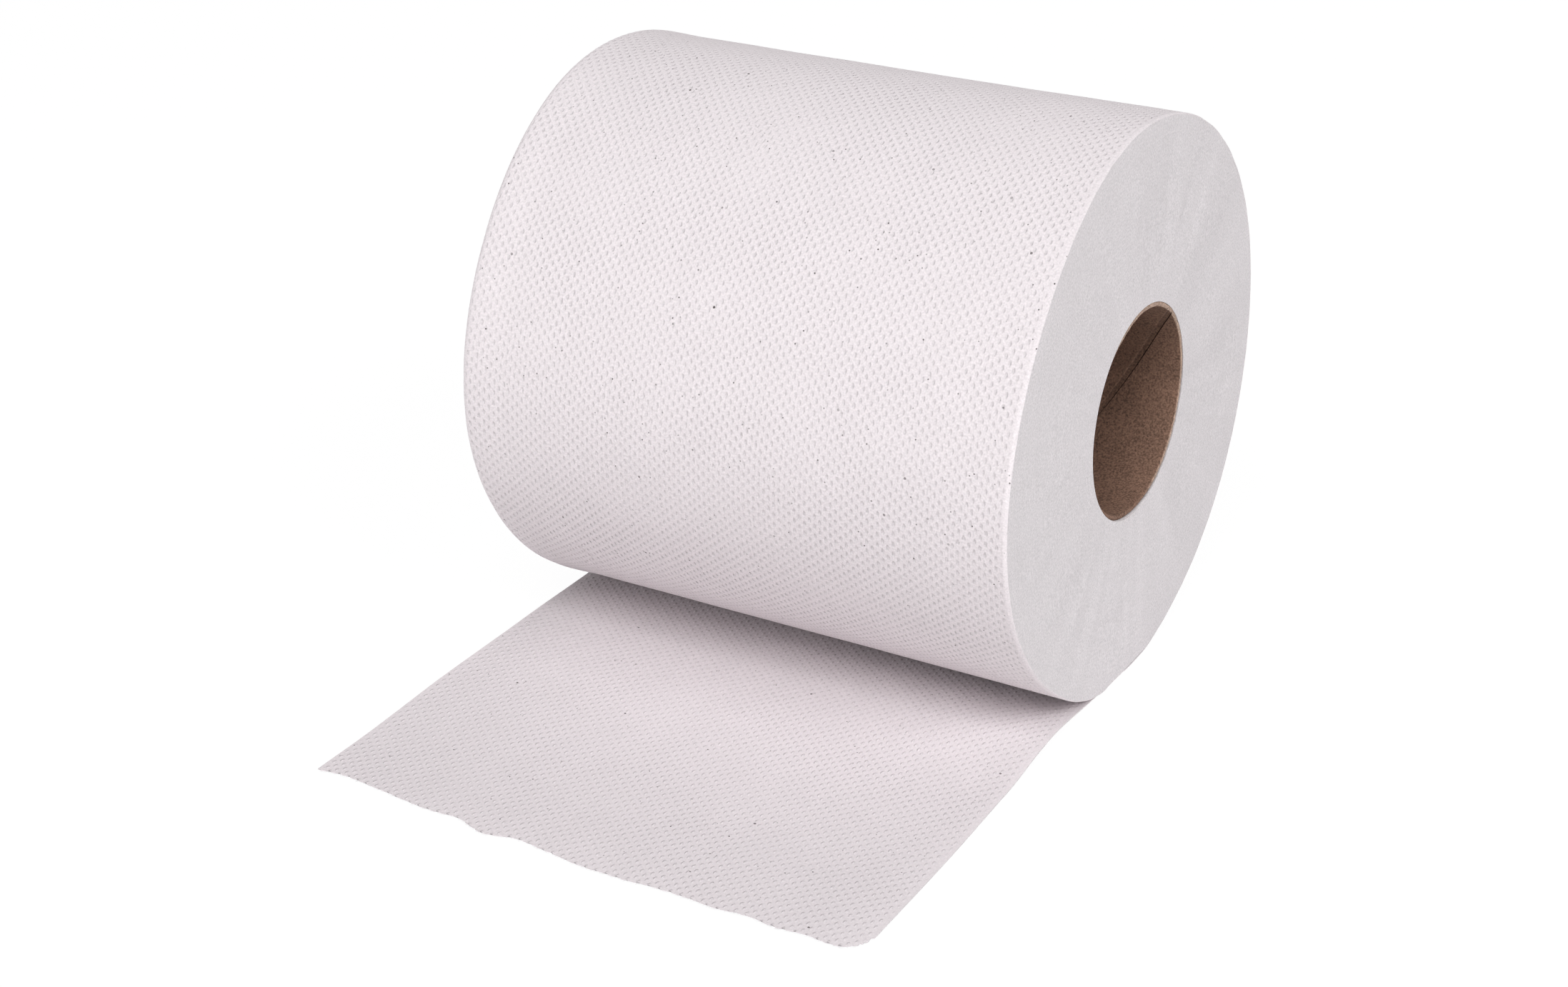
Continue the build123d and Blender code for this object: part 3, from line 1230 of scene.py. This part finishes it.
@dataclass(frozen=True)
class CutFinish:
    """Edges of the turns, seen on the end faces."""

    colour: Colour = (0.775, 0.735, 0.752)
    fleck: Colour = (0.13, 0.10, 0.10)
    flecks: Flecks = Flecks(3.6 * MM, 0.25 * MM, 0.5)
    turn: float = 0.42 * MM
    cloud: float = 0.07
    cloud_scale: float = 45.0
    grain: float = 0.6
    tooth: float = 0.12 * MM
    tooth_grain: float = 1300.0
    ring: float = 0.07
    ring_breaks: float = 1.5
    ring_height: float = 0.06 * MM
    streak: float = 0.1
    streak_breaks: float = 16.0
    streak_height: float = 0.08 * MM
    ray: float = 0.12
    ray_scales: tuple[float, float] = (7.0, 9.0)
    roughness: float = 0.95
    specular: float = 0.2

    def made(self, groups: dict[str, ShadeGroup], roll: RollSizes) -> Material:
        """The material, with fine lines that follow the turns and soft rays across them."""
        finish = Finish("cut_turn_edges", groups)
        place = finish.object_place()
        _, y, z = finish.parts(place)
        rise = z - roll.axis_height
        radius = (y * y + rise * rise).root()
        turned, raised = y / radius, rise / radius

        def lined(pitch: float, breaks: float) -> Field:
            """Noise in lines that follow the turns."""
            return finish.noise(finish.vector(radius / pitch, turned * breaks, raised * breaks), 1.0, 2.0)

        ring, streak = lined(self.turn, self.ring_breaks), lined(2.0 * self.turn, self.streak_breaks)
        turning, outwards = self.ray_scales
        spot = finish.vector(turned * turning, raised * turning, radius * outwards)
        ray = finish.noise(spot, 1.0, 3.0)
        inputs = {"Cloud Scale": self.cloud_scale, "Cloud": self.cloud, "Fibre": self.grain}
        tone = finish.grouped("tone", {"Place": place, **inputs})
        colour = finish.mixed(self.colour, self.fleck, finish.flecked(place, self.flecks))
        level = 1.0 + tone + ring * self.ring + streak * self.streak + ray * self.ray
        tooth = finish.grouped("tooth", {"Place": place, "Grain": self.tooth_grain, "Depth": self.tooth})
        height = tooth + ring * self.ring_height + streak * self.streak_height
        return finish.finished(finish.toned(colour, level), height, self.roughness, self.specular)


@dataclass(frozen=True)
class BoardFinish:
    """Grey-brown board of the core, paler where it was cut at the rims, and darker in the seam's groove and
    sunken band as painted shade.
    """

    colour: Colour = (0.23, 0.135, 0.095)
    cut: Colour = (0.46, 0.33, 0.26)
    cut_from_edge: tuple[float, float] = (-0.5 * MM, 0.05 * MM)
    fleck: Colour = (0.06, 0.035, 0.03)
    flecks: Flecks = Flecks(2.4 * MM, 0.2 * MM, 0.55)
    fleck_strength: float = 0.8
    cloud: float = 0.5
    cloud_scale: float = 110.0
    grain: float = 2.4
    tooth: float = 0.1 * MM
    tooth_grain: float = 900.0
    # painted shade: how much darker the board is drawn in the seam's groove
    seam: float = 0.7
    roughness: float = 0.85
    specular: float = 0.3

    def made(self, groups: dict[str, ShadeGroup], core: CoreSizes) -> Material:
        """The material, with the cut rims told apart by where they lie."""
        finish = Finish("core_board", groups)
        place = finish.object_place()
        x, _, _ = finish.parts(place)
        rim = x.magnitude().eased(*(core.half_width + past for past in self.cut_from_edge))
        inputs = {"Cloud Scale": self.cloud_scale, "Cloud": self.cloud, "Fibre": self.grain}
        tone = finish.grouped("tone", {"Place": place, **inputs})
        fleck = finish.flecked(place, self.flecks) * self.fleck_strength
        colour = finish.mixed(finish.mixed(self.colour, self.fleck, fleck), self.cut, rim)
        tooth = finish.grouped("tooth", {"Place": place, "Grain": self.tooth_grain, "Depth": self.tooth})
        # darker along the seam's groove and sunken band, as painted shade
        level = (1.0 + tone) * (1.0 - finish.carried("seam").at_most(1.0) * self.seam)
        return finish.finished(finish.toned(colour, level), tooth, self.roughness, self.specular)


# Pieces


def added(name: str, data: bpy.types.ID) -> bpy.types.Object:
    """A new object in the scene, at the origin."""
    made = bpy.data.objects.new(name, data)
    bpy.context.scene.collection.objects.link(made)
    return made


def settled(piece: bpy.types.Object, node: str) -> None:
    """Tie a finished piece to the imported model.

    Args:
        piece: The piece.
        node: CAD node that it stands for.
    """
    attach(piece, "root")
    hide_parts(node)
    log.info("%s: %d faces", piece.name, len(piece.data.polygons))


@dataclass
class TowelRoll:
    """The paper: outer turn, wound turns, loose end and the fibres of its tear."""

    groups: dict[str, ShadeGroup]
    roll: RollSizes = field(default_factory=RollSizes)
    sheet: SheetSizes = field(default_factory=SheetSizes)
    dots: DotSizes = field(default_factory=DotSizes)
    creases: tuple[Crease, ...] = (
        Crease(-66.7 * MM, 516.0 * MM, 540.0 * MM, 0.13, 0.3 * MM),
        Crease(46.0 * MM, 506.0 * MM, 527.0 * MM, 0.0, 0.16 * MM),
        Crease(66.7 * MM, 502.0 * MM, 524.0 * MM, 0.0, 0.14 * MM),
        Crease(-3.0 * MM, 320.0 * MM, 384.0 * MM, 0.12, 0.08 * MM),
    )
    back_share: float = 0.42
    tear_room: float = 4.0 * MM
    node: str = "paper_web"

    def build(self) -> None:
        """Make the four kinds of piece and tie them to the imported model."""
        web = Web(self.roll, self.sheet, self.dots, self.creases)
        paper = PaperFinish().made(self.groups, web)
        cut = CutFinish().made(self.groups, self.roll)
        recipe = WebRecipe(web)
        self.outer_turn(recipe, paper)
        settled(WoundRecipe(web).baked("wound_turns", {}, cut), self.node)
        self.loose_end(web, recipe, paper, cut)

    def outer_turn(self, recipe: WebRecipe, paper: Material) -> None:
        """The outermost turn, in two pieces that meet along the top of the back."""
        far = -self.roll.half_width + self.roll.far_shoulder * (1.0 - math.pi / 2)
        near = self.roll.half_width + self.roll.near_round * (math.pi / 2 - 1.0)
        middle = self.roll.run * self.back_share
        for name, ends in (("outer_turn_back", (0.0, middle)), ("outer_turn_front", (middle, self.roll.run))):
            settled(recipe.stretch(name, ends, (far, near), paper), self.node)

    def loose_end(self, web: Web, recipe: WebRecipe, paper: Material, torn: Material) -> None:
        """The sheet on the floor and the fibres along its tear."""
        half = self.sheet.half_width
        ends = -self.sheet.reach - self.tear_room, 0.0
        loose = recipe.stretch("loose_end", ends, (-half, half), paper, loose=True)
        settled(loose, self.node)
        fibres = FibreRecipe(web).baked("tear_fibres", {}, torn)
        settled(fibres, self.node)


@dataclass
class Core:
    """The cardboard tube in the middle of the turns."""

    groups: dict[str, ShadeGroup]
    axis_height: float
    sizes: CoreSizes = field(default_factory=CoreSizes)
    node: str = "core_tube"

    def build(self) -> None:
        """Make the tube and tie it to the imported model."""
        board = BoardFinish().made(self.groups, self.sizes)
        tube = CoreRecipe(self.sizes, self.axis_height).baked("core", {}, board)
        settled(tube, self.node)


# Studio


@dataclass(frozen=True)
class Lamp:
    """A square lamp that looks at the middle of the roll."""

    name: str
    place: tuple[float, float, float]
    watts: float
    side: float = 1.4
    target: tuple[float, float, float] = (0.0, -0.04, 0.08)

    def build(self) -> None:
        """Make the lamp and point it."""
        light = bpy.data.lights.new(self.name, "AREA")
        light.shape = "SQUARE"
        light.size = self.side
        light.energy = self.watts
        lamp = added(self.name, light)
        lamp.location = self.place
        aim = Vector(self.target) - Vector(self.place)
        lamp.rotation_mode = "QUATERNION"
        lamp.rotation_quaternion = aim.to_track_quat("-Z", "Y")


class Backdrop(Bench):
    """A tree of the world or the floor, which lights the roll one way and shows itself another way."""

    def __init__(self, tree: bpy.types.NodeTree) -> None:
        """Keep the tree and empty it."""
        super().__init__(tree)
        tree.nodes.clear()

    def served(self, lit: Socket, seen: Socket, share: float, output: str) -> None:
        """End the tree.

        Args:
            lit: What rays that carry light to the roll meet.
            seen: What rays that show the backdrop meet, straight, through gloss or through glass.
            share: How much of seen those rays get.
            output: Blender's name for the tree's output node.
        """
        path = self.node("ShaderNodeLightPath")
        rays = (self.number(path.outputs[f"Is {kind} Ray"]) for kind in ("Camera", "Glossy", "Transmission"))
        camera, glossy, through = rays
        direct = (camera + glossy + through).at_most(1.0)
        mix = self.result("ShaderNodeMixShader", {0: direct * share, 1: lit, 2: seen})
        self.node(output, {0: mix})


@dataclass
class Studio:
    """White floor, even light and the camera. Angles are in radians."""

    ambient: float = 0.14
    floor_half: float = 4.0
    floor_height: float = -0.05 * MM
    floor_colour: Colour = (0.92, 0.92, 0.92)
    floor_glow: float = 1.03
    floor_shown: float = 0.93
    lamps: tuple[Lamp, ...] = (
        Lamp("lamp_left", (-2.8, -2.0, 0.4), 30.0),
        Lamp("lamp_front", (0.0, -3.0, 1.5), 9.0),
        Lamp("lamp_right", (2.4, -0.8, 2.2), 44.0),
        Lamp("lamp_above", (0.6, -2.2, 2.8), 55.0),
        Lamp("lamp_back", (0.0, 2.6, 3.0), 22.0),
    )
    camera_place: tuple[float, float, float] = (407.585 * MM, -760.155 * MM, 451.123 * MM)
    camera_turn: float = 0.52634
    camera_tilt: float = 0.44117
    camera_roll: float = -0.00348
    focal_share: float = 3804.03 / 2195.0
    sensor: float = 36.0
    nearest: float = 0.01

    def build(self) -> None:
        """Make the world, the floor, the lamps and the camera."""
        self.world()
        self.floor()
        for lamp in self.lamps:
            lamp.build()
        self.camera()

    def world(self) -> None:
        """Even white light, and a white backdrop."""
        world = bpy.data.worlds.new("studio")
        bpy.context.scene.world = world
        world.use_nodes = True
        bench = Backdrop(world.node_tree)
        light, white = (
            bench.result("ShaderNodeBackground", {"Color": WHITE, "Strength": strength})
            for strength in (self.ambient, 1.0)
        )
        bench.served(light, white, 1.0, "ShaderNodeOutputWorld")

    def floor(self) -> None:
        """A white floor that keeps a faint shadow of the object."""
        mesh = bpy.data.meshes.new("floor")
        signs = (-1.0, -1.0), (1.0, -1.0), (1.0, 1.0), (-1.0, 1.0)
        corners = [(x * self.floor_half, y * self.floor_half, self.floor_height) for x, y in signs]
        mesh.from_pydata(corners, [], [(0, 1, 2, 3)])
        floor = added("floor", mesh)
        material = bpy.data.materials.new("floor_white")
        material.use_nodes = True
        bench = Backdrop(material.node_tree)
        matt = bench.result("ShaderNodeBsdfDiffuse", {"Color": (*self.floor_colour, 1.0)})
        white = bench.result("ShaderNodeEmission", {"Color": WHITE, "Strength": self.floor_glow})
        bench.served(matt, white, self.floor_shown, "ShaderNodeOutputMaterial")
        mesh.materials.append(material)

    def camera(self) -> None:
        """The camera, placed and turned as in the photograph."""
        turn, tilt, roll = self.camera_turn, self.camera_tilt, self.camera_roll
        ahead = Vector((-math.sin(turn) * math.cos(tilt), math.cos(turn) * math.cos(tilt), -math.sin(tilt)))
        right = ahead.cross(Vector((0.0, 0.0, 1.0))).normalized()
        up = right.cross(ahead)
        side = right * math.cos(roll) + up * math.sin(roll)
        top = up * math.cos(roll) - right * math.sin(roll)
        data = bpy.data.cameras.new("camera")
        data.sensor_width = self.sensor
        data.lens = self.sensor * self.focal_share
        data.clip_start = self.nearest
        camera = added("camera", data)
        turned = Matrix((side, top, -ahead)).transposed().to_4x4()
        camera.matrix_world = Matrix.Translation(Vector(self.camera_place)) @ turned
        bpy.context.scene.camera = camera
        bpy.context.scene.view_settings.view_transform = "Standard"


def main() -> None:
    """Build the pieces and the studio, and log the number of faces in each piece."""
    logging.basicConfig(level=logging.INFO, format="%(name)s: %(message)s")
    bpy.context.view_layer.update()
    groups = {"flecks": fleck_group(), "tone": tone_group(), "tooth": tooth_group()}
    paper = TowelRoll(groups)
    paper.build()
    Core(groups, paper.roll.axis_height).build()
    Studio().build()


if __name__ == "__main__":
    main()
